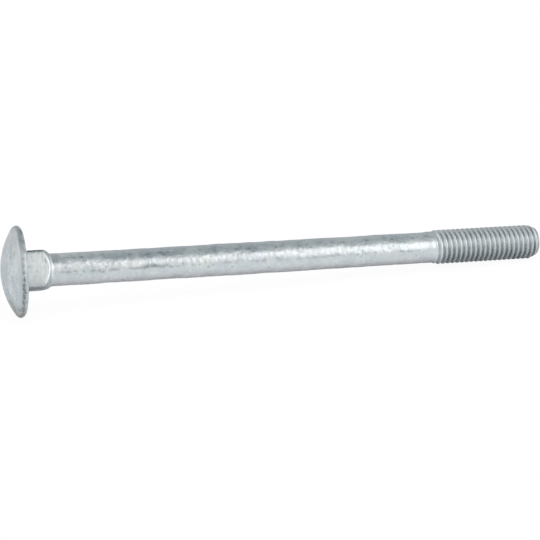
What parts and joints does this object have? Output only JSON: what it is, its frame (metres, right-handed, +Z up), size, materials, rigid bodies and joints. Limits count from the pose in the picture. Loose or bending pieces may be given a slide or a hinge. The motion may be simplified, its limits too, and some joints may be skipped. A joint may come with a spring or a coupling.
{
  "type": "carriage bolt",
  "caption": "Long carriage bolt with a domed mushroom head, a short square neck, a plain shank and a rolled thread at the tip, hot-dip galvanised.",
  "frame": {"origin": "centre of the bounding box in X and Y, on the level surface that the bolt lies on", "axes": "+X along the bolt from head to tip, seen from above; +Z up; the bolt's own axis dips 2.8 degrees towards the tip, because it rests on the rim of its head and on the end of its thread"},
  "size_m": [0.1558, 0.0246, 0.0246],
  "materials": {
    "zinc": "hot-dip galvanised, dull and faintly mottled"
  },
  "bodies": {
    "root": {"bolt": "zinc"}
  },
  "joints": []
}
